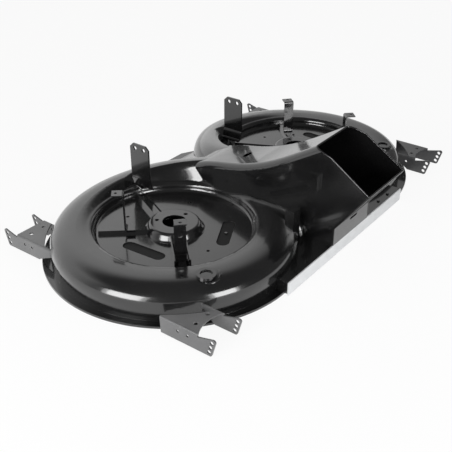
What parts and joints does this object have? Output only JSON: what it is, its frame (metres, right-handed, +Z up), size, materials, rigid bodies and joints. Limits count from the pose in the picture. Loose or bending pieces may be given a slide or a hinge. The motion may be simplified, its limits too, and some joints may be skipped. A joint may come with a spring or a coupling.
{
  "type": "lawn mower deck",
  "caption": "Bare black-painted sheet-steel mower cutting deck with twin blade pans, a rising central discharge tunnel, spindle bosses and gauge wheel brackets.",
  "frame": {"origin": "middle of the deck's footprint, on the ground", "axes": "+X to the machine's right, +Y to its front, +Z up; the discharge mouth looks towards -Y"},
  "size_m": [1.064, 0.6778, 0.244],
  "materials": {
    "black_paint": "gloss black paint",
    "zinc_plate": "pale zinc plating"
  },
  "bodies": {
    "root": {"apron_screws": "black_paint", "cheek_bolts": "black_paint", "deck_shell": "black_paint", "front_web": "black_paint", "left_chute_cheek": "black_paint", "left_front_post": "black_paint", "left_front_wheel_bracket": "black_paint", "left_lift_plate": "black_paint", "left_rear_apron": "black_paint", "left_rear_hanger": "black_paint", "left_rear_post": "black_paint", "left_rear_wheel_bracket": "black_paint", "left_spindle_carrier": "black_paint", "pocket_screws": "black_paint", "rear_panel": "black_paint", "right_chute_cheek": "black_paint", "right_front_post": "black_paint", "right_front_wheel_bracket": "black_paint", "right_lift_plate": "black_paint", "right_rear_apron": "black_paint", "right_rear_hanger": "black_paint", "right_rear_post": "black_paint", "right_rear_wheel_bracket": "black_paint", "right_spindle_carrier": "black_paint", "tunnel_rear_wall": "black_paint", "tunnel_tab": "black_paint", "wall_studs": "black_paint", "rear_skirt": "zinc_plate"}
  },
  "joints": []
}
